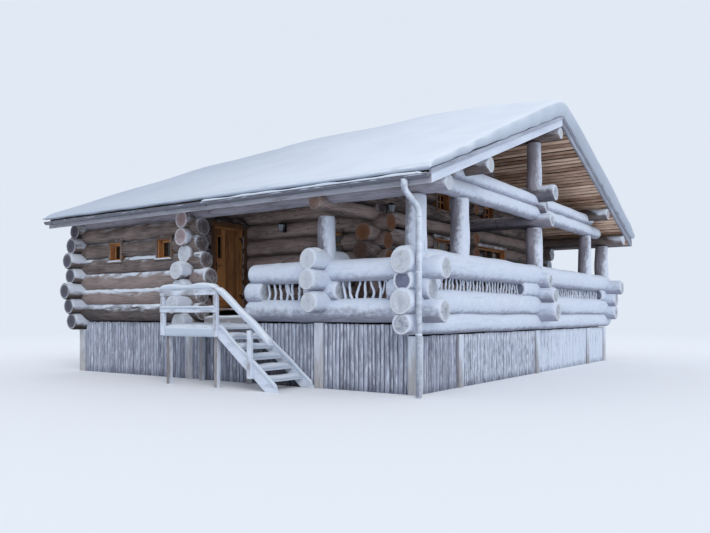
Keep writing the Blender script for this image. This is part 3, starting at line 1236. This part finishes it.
# How far the skirt rows have come down, from the lowest row up; 0 is the top of the snow
skirt = [1.0, 0.72, 0.4]


def eased_spacing(count, start, end):
    """Positions that crowd towards both ends, where the edge rounds over."""
    share = np.linspace(0, 1, count)
    return start + (end - start) * (share - 0.8 * np.sin(2 * math.pi * share) / (2 * math.pi))


def with_skirt(places):
    """The places with skirt rows added at both ends, how far each has come down, and which way is out."""
    rows, middle = np.ones(len(skirt)), np.zeros(len(places))
    places = np.concatenate([places[0] * rows, places, places[-1] * rows])
    return places, np.concatenate([skirt, middle, skirt[::-1]]), np.concatenate([-rows, middle, rows])


def edge_rounding(distance, reach, least):
    inside = np.clip(distance / reach, 0, 1)
    return least + (1 - least) * np.sqrt(1 - (1 - inside) ** 2)


# %% Roof snow
xs, fall_x, outward_x = with_skirt(eased_spacing(150, snow_x0, snow_x1))
ys, fall_y, outward_y = with_skirt(eased_spacing(130, snow_y0, snow_y1))
X, Y = np.meshgrid(xs, ys, indexing="ij")
fall = np.maximum(fall_x[:, None], fall_y[None, :])
crest = np.interp(X, [snow_x0, -7.6, -5.3, -3.0, -0.9, snow_x1], [0.34, 0.55, 0.63, 0.72, 0.62, 0.52])
to_ridge = np.clip(1 - np.abs(Y - mid_y) / (mid_y - eave_y), 0, 1)
eave_depth = np.where(Y < mid_y, 0.16, 0.5)
depth = eave_depth + (crest - eave_depth) * to_ridge**0.9
depth = depth + 0.035 * ripple(X, Y, waves=7, low=0.08, high=0.35) * np.clip(depth / 0.4, 0, 1)
base = roof_top(Y)
soft_ridge = slope * (np.sqrt((Y - mid_y) ** 2 + 0.3**2) - np.abs(Y - mid_y))
to_gable = np.minimum(X - snow_x0, snow_x1 - X)
to_eave = np.minimum(Y - snow_y0, snow_y1 - Y)
at_eave = np.where(Y < mid_y, edge_rounding(to_eave, 0.2, 0.45), edge_rounding(to_eave, 0.4, 0.55))
top = base + (depth - soft_ridge) * edge_rounding(to_gable, 0.22, 0.8) * at_eave
hollow = 0.5 + 0.5 * ripple(Y, waves=4, low=0.12, high=0.5)
lifted = np.where(Y > mid_y, 0.1, 0.015) * np.clip(hollow - 0.55, 0, 1) * (X > 0)
Z = top * (1 - fall) + (base + 0.012 + lifted) * fall
bulge = np.interp(fall, [0, 0.4, 0.72, 1.0], [0.0, 0.03, 0.02, -0.05])
wavy = bulge + 0.02 * ripple(X, Y, waves=6, low=0.5, high=2.2) * (fall > 0.3)
points = np.stack([X + wavy * outward_x[:, None], Y + wavy * outward_y[None, :], Z], -1)
cover = WorkPiece("roof_snow_cover")
cover.add(points, [spread(len(xs), len(ys))], "roof snow", points, 1.0)
print("snow is", round(float(depth.min()), 2), "to", round(float(depth.max()), 2), "m deep")
cover.make("snow", "roof_snow_front", "roof_snow_back")

# %% [markdown]
# ## Base and floors
#
# The house stands on squared piers, and slab boards close the space between them. They are the cheapest
# boards of the mill, nailed upright side by side, and their frost lies in streaks. Each is a mesh of its own
# width, because the ragged rhythm of the boards is what shows from afar.

# %% Skirting of half-round slabs
def skirting(name, node, runs):
    """Slab boards along each run (start, end, way out, height, weather), with a dark backing board."""
    work = WorkPiece(name)
    for start, end, out, top, weather in runs:
        start, end = np.array(start), np.array(end)
        length = float(np.linalg.norm(end - start))
        toward = (end - start) / length
        gone = 0.0
        while gone < length - 0.02:
            wide = min(chance.uniform(0.07, 0.125), length - gone)
            place = start + toward * (gone + wide / 2)
            slab_board(work, (*place, 0.0), top - chance.uniform(0, 0.02), wide * 0.86,
                       chance.uniform(0.028, 0.04), out, weather)
            gone += wide
        back = -0.012 * np.array(out)
        plank(work, (*start, top / 2) + back, (*end, top / 2) + back, top - 0.02, 0.02, out, "slab board",
              weather=-0.4)
    work.make("skirting_board", node)


def behind_stair(p):
    """The boards behind the flight get no frost, so the gaps between its treads are dark."""
    x, _, z = p.T
    under_flight = rising(1.12 - (x + 3.87) * 0.77 - z, 0, 0.1)
    return 0.32 - 1.1 * under_flight * rising(x, -3.95, 0.1)


skirting("front_slabs", "front_skirting", [
    ((x0, -0.035), (x1, -0.035), FRONT, 1.3, weather)
    for x0, x1, weather in ((-9.94, -6.06, 0.26), (-5.84, -2.3, behind_stair), (-2.08, -0.11, 0.36))])
skirting("terrace_slabs", "terrace_skirting", [
    ((0.032, y0), (0.032, y1), X_AXIS, 1.085, weather)
    for y0, y1, weather in ((0.11, 1.57, 0.12), (1.79, 5.89, 0.3), (6.11, 10.15, 0.55), (10.37, 11.89, 0.6))])
skirting("rear_slabs", "rear_skirting", [
    *(((x0, 12.035), (x1, 12.035), Y_AXIS, 1.3, 0.3)
      for x0, x1 in ((-9.94, -6.06), (-5.84, -2.16), (-1.94, -0.11))),
    *(((-10.085, y0), (-10.085, y1), (-1, 0, 0), 1.08, 0.25) for y0, y1 in ((0.11, 5.89), (6.11, 11.89)))])

# %% [markdown]
# The piers are squared from one trunk each, and they stand level on the ground. They darken towards their
# feet, where no wind reaches. Each is a plank as thick as it is wide, so they need no tool of their own.

# %% Squared piers
def pier_weather(p):
    return 0.15 + 0.4 * rising(p[:, 2], 0, 0.8)


piers = WorkPiece("squared_piers")
low, high = 1.078, 1.313
for x, y, top in ((left_x, 0, low), (door_x, 0, low), (-2.19, 0, high), (0, 0, low), (left_x, width, low),
                  (door_x, width, high), (terrace_x, width, low), (0, width, low), (0, 1.68, low),
                  (0, mid_y, low), (0, 10.26, low), (left_x, mid_y, low), (terrace_x, gallery, low),
                  (terrace_x, mid_y, low)):
    board(piers, x, y, (0, top), 0.21, 0.21, FRONT, "pier timber", 0.012, weather=pier_weather, wobble=0.002,
          step=0.3)
piers.make("pier_timber", "corner_piers")

# %% [markdown]
# Both floors are planks laid with a gap for shrinkage. On the terrace they run along the rail, and frost
# lies thickest on those next to it. An array of one plank would do, but then every knot would repeat.

# %% Floors
def floor_planks(work, x, y, z, wide, thick, weather, step=1.5):
    board(work, x, y, z, wide, thick, UP, "floor plank", weather=weather, step=step)


deck = WorkPiece("deck_planks")
for i in range(11):
    floor_planks(deck, -0.31 - i * 0.142, (0.25 if i > 0 else 0.3, 11.74), 1.6, 0.135, 0.038, 0.8 - 0.04 * i)
for i in range(9):
    floor_planks(deck, (-5.71, -1.95), 0.31 + i * 0.148, 1.6, 0.14, 0.038, 0.6 - 0.03 * i)
for x in (-5.3, -4.2, -3.1, -1.7, -0.4):
    floor_planks(deck, x, (0.26, 11.7 if x > -2 else 1.56), 1.572, 0.1, 0.016, -0.3, 0.8)
deck.make("floor_plank", "terrace_deck")

room = WorkPiece("room_floor_planks")
for i in range(80):
    y = 0.3 + i * 0.1445
    floor_planks(room, (-9.8, -6.2 if y < 2.06 else -2.3), y, 1.597, 0.141, 0.045, -0.4, 3.0)
room.make("floor_plank", "house_floor")

# %% [markdown]
# ## Windows
#
# A log wall settles by centimetres, so its windows sit in a box of planks that floats in the hole. Outside
# there is a flat casing, inside it the sash with its bars, and below a sill that carries snow. All windows
# are built alike, so one function makes any of them from its opening and its bars.

# %% Window
def window(timbers, panes, sills, wall, at, out, opening, bars, snow):
    """wall is "x" or "y", the axis the wall runs along; at is its line and out the way to the weather."""
    columns, rows = bars
    a0, a1, z0, z1 = holes_of([opening])[0]
    face, side = ((0, out, 0), X_AXIS) if wall == "x" else ((out, 0, 0), Y_AXIS)
    box, casing, drip = (0.36, 0.04), (0.065, 0.024), (0.085, 0.026)
    sash, bar = (0.045, 0.045), (0.024, 0.032)
    inner, sash_out, casing_out = 0.045, 0.05, 0.2

    def spot(a, o, z):
        return (a, at + out * o, z) if wall == "x" else (at + out * o, a, z)

    def timber_at(a, o, z, size, turned_to, finish, reach):
        board(timbers, *spot(a, o, z), *size, turned_to, finish, weather=reach)

    for z in (z0 + 0.022, z1 - 0.022):
        timber_at((a0, a1), 0.01, z, box, UP, "honey pine", -0.1)
    for a in (a0 + 0.022, a1 - 0.022):
        timber_at(a, 0.01, (z0, z1), box, side, "honey pine", -0.1)
    for a in (a0 - 0.005, a1 + 0.005):
        timber_at(a, casing_out, (z0 - 0.02, z1 + 0.01), casing, face, "grey joinery", 0.0)
    timber_at((a0 - 0.05, a1 + 0.05), casing_out, z1 + 0.02, drip, face, "grey joinery", 0.1)
    timber_at((a0 - 0.06, a1 + 0.06), casing_out, z0 - 0.012, (0.1, 0.03), UP, "grey joinery", 0.0)
    left, right, foot, head = a0 + inner, a1 - inner, z0 + inner, z1 - inner
    for z in (foot + 0.02, head - 0.02):
        timber_at((left, right), sash_out, z, sash, face, "honey pine", -0.3)
    for a in (left + 0.02, right - 0.02):
        timber_at(a, sash_out, (foot, head), sash, face, "honey pine", -0.3)
    for i in range(1, columns):
        timber_at(left + (right - left) * i / columns, sash_out, (foot, head), bar, face, "honey pine", -0.3)
    for i in range(1, rows):
        timber_at((left, right), sash_out, foot + (head - foot) * i / rows, bar, face, "honey pine", -0.3)
    board(panes, *spot((left, right), 0.045, (z0 + z1) / 2), head - foot, 0.012, face, "window pane", 0.001,
          wobble=0)
    if snow:
        snow_pad(sills, *spot((a0 - 0.06, a1 + 0.06), casing_out, z0 + 0.002), 0.1, snow)


# %% Windows in all walls
panes, sills = WorkPiece("window_panes"), WorkPiece("sill_snow")
# For each piece its windows: axis and line of the wall, way out, openings, bars, snow on the sill
for name, node, groups in (("front_window_timbers", "front_window_frames",
                            (("x", 0, -1, window_front, (1, 1), 0.05),
                             ("x", gallery, -1, window_recess, (2, 2), 0))),
                           ("terrace_window_timbers", "terrace_window_frames",
                            (("y", terrace_x, 1, window_terrace[:1], (3, 2), 0),
                             ("y", terrace_x, 1, window_terrace[1:], (4, 2), 0),
                             ("y", terrace_x, 1, window_gable, (3, 2), 0))),
                           ("rear_window_timbers", "rear_window_frames",
                            (("y", left_x, -1, window_left, (2, 2), 0.04),
                             ("x", width, 1, window_back, (2, 2), 0.05)))):
    timbers = WorkPiece(name)
    for axis, line, out, openings, bars, snow in groups:
        for opening in openings:
            window(timbers, panes, sills, axis, line, out, opening, bars, snow)
    timbers.make("pine_joinery", node)
panes.make("window_glass", "window_glass")
sills.make("snow")

# %% [markdown]
# ## Entrance door
#
# The door is the only thing that moves. Its leaf is upright tongued planks with a narrow light, and it hangs
# on lift-off hinges whose lower half belongs to the frame. Leaf and frame are separate pieces on their own
# bodies, and half a hinge goes with each of them, so that it stays whole in every pose.

# %% Door frame
hinge_x, hinge_y = -5.786, 1.447
strap_x, strap_thick = -5.797, 0.006
case_foot = 1.63
case = WorkPiece("door_case")
pine = functools.partial(board, case, face=X_AXIS, finish="honey pine")
for y in (0.531, 1.479):
    pine(door_x, y, (1.62, 3.585), 0.058, 0.3, weather=-0.2)
pine(door_x, (0.502, 1.508), 3.56, 0.05, 0.3, weather=-0.2)
pine(door_x, (0.502, 1.508), case_foot, 0.02, 0.3, weather=0.1)
for y in (0.569, 1.441):
    pine(-5.888, y, (1.64, 3.53), 0.017, 0.05, cut=0.003, weather=-0.2)
for y in (0.455, 1.555):
    board(case, -5.745, y, (case_foot, 3.62), 0.1, 0.03, X_AXIS, "brown casing", weather=-0.15)
board(case, -5.743, (0.4, 1.61), 3.63, 0.11, 0.034, X_AXIS, "brown casing", weather=-0.1)
knuckle = [(0, 0.009), (0.002, 0.011), (0.048, 0.011), (0.05, 0.009)]
pin = [(0.05, 0.006), (0.092, 0.006), (0.094, 0.004)]


def hinge_half(work, z, y, wide, profile):
    turned(work, (hinge_x, hinge_y, z), UP, profile, "black iron", 16)
    board(work, strap_x, y, (z + 0.003, z + 0.047), wide, strap_thick, X_AXIS, "black iron", 0.001, wobble=0)


for z in (1.865, 3.265):
    hinge_half(case, z, 1.475, 0.05, knuckle + pin)
case.make("pine_joinery", "door_frame")

# %% [markdown]
# The leaf is seven upright planks. One is parted by the light, which has thin beads round it, and a kick
# board crosses the foot. Each plank is its own board, so that the joints between them are real.

# %% Door leaf
leaf = WorkPiece("door_leaf")
pine = functools.partial(board, leaf, face=X_AXIS, finish="honey pine")
leaf_foot, leaf_head = 1.647, 3.523
edges = [0.567, 0.655, 0.785, 0.917, 1.049, 1.181, 1.312, 1.443]
for y0, y1 in zip(edges, edges[1:]):
    # The second plank is parted by the light
    runs = [(leaf_foot, 2.825), (3.345, leaf_head)] if y0 == edges[1] else [(leaf_foot, leaf_head)]
    for run in runs:
        pine(-5.828, (y0 + y1) / 2, run, y1 - y0 - 0.001, 0.05, weather=-0.35, wobble=0.0004)
for y in (0.648, 0.792):
    pine(-5.801, y, (2.812, 3.358), 0.024, 0.012, cut=0.003, weather=-0.3, wobble=0)
for z in (2.818, 3.352):
    pine(-5.801, (0.64, 0.8), z, 0.024, 0.012, cut=0.003, weather=-0.3, wobble=0)
pine(-5.799, (0.575, 1.43), 1.74, 0.16, 0.014, cut=0.004, weather=-0.2, wobble=0)
for z in (1.92, 3.32):
    hinge_half(leaf, z, 1.415, 0.06, knuckle)
leaf.make("pine_joinery", "entrance_door", body="door")

# %% [markdown]
# The light is one narrow pane in the second plank. The handle is a plain lever on a back plate: the plate is
# a thin board, the lever a tube, and the rose and the keyhole's ring are turned.

# %% Door light and handle
light = WorkPiece("door_pane")
board(light, -5.83, 0.72, (2.826, 3.344), 0.128, 0.012, X_AXIS, "window pane", 0.001, wobble=0)
light.make("window_glass", "door_glass", body="door")

handle = WorkPiece("lever_handle")
handle_y, lever_z = 0.62, 2.655
rose = [(0, 0.017), (0.006, 0.017), (0.01, 0.01), (0.04, 0.009)]
keyhole = [(0, 0.012), (0.007, 0.012), (0.008, 0.005)]
board(handle, -5.797, handle_y, (2.527, 2.733), 0.038, 0.008, X_AXIS, "black iron", 0.003, wobble=0)
turned(handle, (-5.795, handle_y, lever_z), X_AXIS, rose, "black iron", 16)
lever = [(-5.76, handle_y, lever_z), (-5.746, handle_y, lever_z), (-5.744, 0.7, lever_z),
         (-5.746, 0.752, 2.648)]
tube(handle, eased_path(lever, 0.015), 0.0085, "black iron", 12, 0.0)
turned(handle, (-5.797, handle_y, 2.57), X_AXIS, keyhole, "black iron", 12)
handle.make("handle_metal", "door_handle", body="door")

# %% [markdown]
# ## Lanterns
#
# Each lantern is a six-sided shade of milky glass in an iron frame, under a small hood, on a bracket. Turning
# a profile in only six steps gives flat panes and the pointed hood with the same function as round parts.

# %% Lanterns
lamps = WorkPiece("wall_lanterns")


def lantern(foot, out):
    foot, out, up = np.array(foot, float), np.array(out, float), np.array(UP)
    plate = foot - 0.02 * out
    plank(lamps, plate - 0.02 * up, plate + 0.19 * up, 0.09, 0.014, out, "black iron", 0.004, wobble=0)
    arm = [plate + 0.12 * up, foot + 0.03 * out + 0.215 * up, foot + 0.1 * out + 0.2 * up]
    tube(lamps, eased_path(arm, 0.04), 0.009, "black iron", 8)
    heart = foot + 0.105 * out
    hood = [(0.145, 0.104), (0.152, 0.116), (0.178, 0.076), (0.2, 0.038), (0.212, 0.01)]
    for finish, profile in (("lantern glass", [(0, 0.05), (0.004, 0.056), (0.148, 0.09)]),
                            ("black iron", [(-0.008, 0.036), (-0.004, 0.062), (0.002, 0.062)]),
                            ("black iron", hood)):
        turned(lamps, heart, UP, profile, finish, 6, flat=True)
    for a in np.arange(6) * math.pi / 3:
        spoke = np.array([-math.cos(a), math.sin(a), 0])
        tube(lamps, [heart + spoke * 0.058, heart + spoke * 0.092 + 0.148 * up], 0.004, "black iron", 6)


lantern((-4.48, 1.545, 3.455), FRONT)
lantern((-1.795, 1.89, 3.725), X_AXIS)
lamps.make("metal", "lanterns")

# %% [markdown]
# ## Landing and stair
#
# The stair is planks between two stringers, and nobody has swept it lately: each tread carries a pad of snow.
# The rail is boards on squared posts, with the deepest snow on its cap. Treads, stringers and handrail follow
# from the height of the landing, the rise and the going, as a carpenter would set them out.

# %% Landing
landing_z, rise, going = 1.22, 0.2, 0.26
stair_x, pitch = -3.87, rise / going
stair_front, stair_back = -1.197, -0.113
rail_y = -1.282
stair_board = functools.partial(board, finish="stair plank")

landing = WorkPiece("landing_planks")
for i in range(11):
    stair_board(landing, -5.455 + i * 0.1504, (-1.22, -0.09), 1.198, 0.14, 0.044, UP, weather=0.6)
for y in (-1.193, -0.118):
    stair_board(landing, (-5.515, -3.88), y, 1.1, 0.14, 0.044, FRONT, weather=0.35)
for x in (-5.415, -3.98):
    for y in (-1.12, -0.19):
        stair_board(landing, x, y, (0, 1.17), 0.095, 0.095, FRONT, weather=0.2)
for y in (-0.07, 0.06, 0.18):
    stair_board(landing, (-5.4, -4.18), y, 1.4, 0.125, 0.04, UP, weather=0.4)
stair_board(landing, (-5.4, -4.18), -0.13, 1.29, 0.22, 0.03, FRONT, weather=0.35)
landing.make("stair_timber", "landing")

# %% Treads and stringers
# Near edge along X and height of the top of each tread
steps = [(stair_x + (i - 1) * going, landing_z - rise * i) for i in range(1, 6)]
treads = WorkPiece("tread_planks")
for x, z in steps:
    for off in (0.067, 0.2):
        stair_board(treads, x + 0.004 + off, (-1.168, -0.142), z - 0.023, 0.128, 0.044, UP, weather=0.6)
treads.make("stair_timber", "stair_treads")

stringers = WorkPiece("stringer_planks")
foot_x = stair_x + 1.26 / pitch
outline = np.array([(stair_x + 0.002, 1.26), (foot_x - 0.06, 0.06 * pitch), (foot_x - 0.06, 0),
                    (foot_x - 0.25 / pitch - 0.04, 0), (stair_x + 0.002, 1.01)])
eased = outline + (outline.mean(0) - outline) * 0.01
for y in (stair_front, stair_back):
    rows = [(y - 0.023, eased), (y - 0.018, outline), (y + 0.018, outline), (y + 0.023, eased)]
    points = np.array([[(x, line, z) for x, z in shape] for line, shape in rows])
    stringers.add(points, capped(len(rows), len(outline)), "stair plank", points, 0.8, 0.5, False)
stringers.make("stair_timber", "stair_stringers")

# %% Stair railing
railing = WorkPiece("railing_boards")
for x, z0, z1 in ((-5.47, 1.04, 1.98), (-3.885, 1.04, 1.98), (-2.96, 0.24, 1.17)):
    stair_board(railing, x, rail_y + 0.03, (z0, z1), 0.108, 0.076, FRONT, weather=0.7)
stair_board(railing, (-5.545, -3.85), rail_y + 0.045, 2.0, 0.13, 0.04, UP, weather=0.8)
stair_board(railing, (-5.52, -3.85), rail_y - 0.011, 1.925, 0.11, 0.022, FRONT, weather=0.65)
stair_board(railing, (-5.52, -3.85), rail_y - 0.011, 1.57, 0.1, 0.022, FRONT, weather=0.8)
hand_x, hand_y, hand_z = (-3.865, -2.43), rail_y + 0.045, (1.998, 1.998 - 1.435 * pitch)
stair_board(railing, hand_x, hand_y, hand_z, 0.13, 0.036, UP, weather=0.8)
railing.make("stair_timber", "stair_railing")

# %% [markdown]
# ## Snow that lies on everything
#
# The last layer is what makes the winter: strips along the trunks, pads on boards and steps, and pillows on
# the log ends at the crossings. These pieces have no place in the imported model, so they replace nothing.

# %% Snow strips on logs
lying = WorkPiece("snow_on_logs")
# Strips on the front wall: from and to, course, thickness, patchiness
for x0, x1, k, thick, patchy in (
    (-9.9, -6.08, 0, 0.02, 0.7), (-9.9, -6.08, 1, 0.028, 0.25), (-9.9, -6.08, 2, 0.026, 0.4),
    (-9.85, -8.82, 3, 0.024, 0.5), (-8.24, -7.0, 3, 0.032, 0.1), (-6.4, -6.08, 3, 0.024, 0.3),
):
    log_snow(lying, (x0, x1), 0, z_along(k), 0.212, -0.7, 0.34, thick * 0.9, patchy)
for k in range(4):
    log_snow(lying, (left_x - run_on(k, 11), left_x - 0.1), 0, z_along(k), 0.21, -0.2, 0.5, 0.022)
    log_snow(lying, left_x, (-run_on(k, 1), -0.1), z_across(k), 0.21, 0.0, 0.45, 0.025)
for k in range(5):
    log_snow(lying, door_x, (-run_on(k, 2), -0.15), z_across(k), 0.21, 0.0, 0.9, 0.03)
    log_snow(lying, (door_x + 0.12, door_x + run_on(k, 14)), 0, z_along(k), 0.212, -0.2, 0.8, 0.03)
# Pillows on single log ends: place by the three axes, radius, thickness
for x, y, z, radius, thick in (
    (0, (-0.53, -0.2), 2.44, 0.245, 0.06), ((0.2, 0.62), 0, z_along(2), 0.2, 0.07),
    ((0.2, 0.58), 0, z_along(0), 0.21, 0.04), (0, (-0.52, -0.2), z_across(1), 0.245, 0.03),
    (terrace_x, (-0.61, -0.19), 2.535, 0.2, 0.06), ((0.24, 0.55), mid_y, z_along(1), 0.2, 0.03),
    ((-4.0, -2.4), 0, z_along(2), 0.215, 0.025), ((0.45, 0.69), 0, 3.84, 0.15, 0.03),
    ((0.42, 0.69), 1.8, 4.46, 0.16, 0.04), ((0.2, 0.55), mid_y, 4.505, 0.19, 0.04),
):
    log_snow(lying, x, y, z, radius, 0.0, 0.75, thick)
lying.make("snow")

# %% Snow pads on boards
pads = WorkPiece("snow_on_boards")
for x, z in steps:
    snow_pad(pads, x + 0.14, (-1.16, -0.15), z, 0.28, 0.1)
# Pads on level boards: place by the three axes, width, thickness
for x, y, z, wide, thick in (
    ((-5.51, -3.88), -0.66, landing_z, 1.1, 0.09), ((-5.39, -4.19), 0.05, 1.42, 0.36, 0.05),
    ((-5.555, -3.845), rail_y + 0.045, 2.018, 0.17, 0.11),
):
    snow_pad(pads, x, y, z, wide, thick)
snow_pad(pads, hand_x, hand_y, (hand_z[0] + 0.016, hand_z[1] + 0.016), 0.165, 0.1)
snow_pad(pads, (-5.525, -3.855), rail_y - 0.01, 1.618, 0.075, 0.05)
snow_pad(pads, (-5.51, -3.88), -1.214, 1.12, 0.2, 0.055, up=FRONT)
for y in (stair_front, stair_back):
    snow_pad(pads, (stair_x + 0.005, foot_x - 0.08), y, (1.258, 0.065), 0.075, 0.065)
for x0, x1, thick in ((-10.2, -9.9, 0.02), (-9.0, -8.2, 0.025), (-7.4, -6.2, 0.03), (-5.8, -5.0, 0.04),
                      (-4.7, 0.66, 0.085)):
    snow_pad(pads, (x0, x1), gutter_y, 3.83, 0.135, thick, step=0.05)
pads.make("snow")

# %% [markdown]
# ## Studio
#
# The chalet stands on a plain pale floor under an even, slightly cool light, as under a winter sky. The far
# floor turns into the backdrop's colour, so that no hard horizon cuts the picture. A curved backdrop would do
# the same from one side only.

# %% Floor and backdrop
BACKDROP = linear(225, 233, 244)
rings, sides = 40, 72
reach = np.concatenate([[0.01], np.geomspace(4, 400, rings - 1)])
turn = np.linspace(0, 2 * math.pi, sides, endpoint=False)
mesh = bpy.data.meshes.new("studio_floor")
mesh.from_pydata([(r * math.cos(a), r * math.sin(a), 0.0) for r in reach for a in turn], [],
                 wrapped(rings, sides).tolist())
ground = bpy.data.objects.new("studio_floor", mesh)
bpy.context.scene.collection.objects.link(ground)
tree, shader = new_finish("floor paint", 0.9, Base_Color=linear(244, 246, 249))
away = add(tree, "ShaderNodeVectorMath", {0: position(tree)}, operation="LENGTH")
seen = add(tree, "ShaderNodeLightPath").outputs["Is Camera Ray"]
glow = add(tree, "ShaderNodeEmission", {"Color": BACKDROP, "Strength": 1.0})
share = times(tree, ramp(tree, away.outputs["Value"], 14.0, 45.0), seen)
both = add(tree, "ShaderNodeMixShader", {0: share, 1: shader.outputs[0], 2: glow.outputs[0]})
tree.links.new(both.outputs[0], tree.nodes["Material Output"].inputs["Surface"])
mesh.materials.append(finishes["floor paint"])

# %% Winter sky
world = bpy.data.worlds.new("winter_sky")
bpy.context.scene.world = world
world.use_nodes = True
tree = world.node_tree
sky = tree.nodes["Background"]
sky.inputs["Color"].default_value = linear(226, 234, 246)
sky.inputs["Strength"].default_value = 0.92
paths = add(tree, "ShaderNodeLightPath").outputs
mirrored = calc(tree, "MAXIMUM", paths["Is Glossy Ray"], paths["Is Transmission Ray"])
shown = calc(tree, "MAXIMUM", paths["Is Camera Ray"], mirrored)
plain = add(tree, "ShaderNodeBackground", {"Color": BACKDROP, "Strength": 1.0})
mixed = add(tree, "ShaderNodeMixShader", {0: shown, 1: sky.outputs[0], 2: plain.outputs[0]})
tree.links.new(mixed.outputs[0], tree.nodes["World Output"].inputs["Surface"])

# %% [markdown]
# One wide soft lamp stands behind the camera, a little to its right, and gives the logs their round shading.
# A level camera was fitted to points measured in the photograph, and its shift keeps upright edges upright.

# %% Lamp and camera
sun = bpy.data.objects.new("soft_sun", bpy.data.lights.new("soft_sun", "SUN"))
sun.data.energy = 1.0
sun.data.angle = math.radians(30)
sun.data.color = (1.0, 0.97, 0.94)
sun.rotation_euler = (math.radians(55), 0, math.radians(50))
bpy.context.scene.collection.objects.link(sun)

lens = bpy.data.cameras.new("eye")
lens.sensor_width, lens.lens, lens.shift_y = 36.0, 35.87, 0.0679
lens.clip_end = 1000
eye = bpy.data.objects.new("eye", lens)
eye.location = (11.369, -17.071, 1.475)
eye.rotation_euler = (math.radians(90), 0, math.radians(34.8))
bpy.context.scene.collection.objects.link(eye)
bpy.context.scene.camera = eye
bpy.context.scene.view_settings.view_transform = "Standard"
print("camera at", [round(v, 2) for v in eye.location], "m")
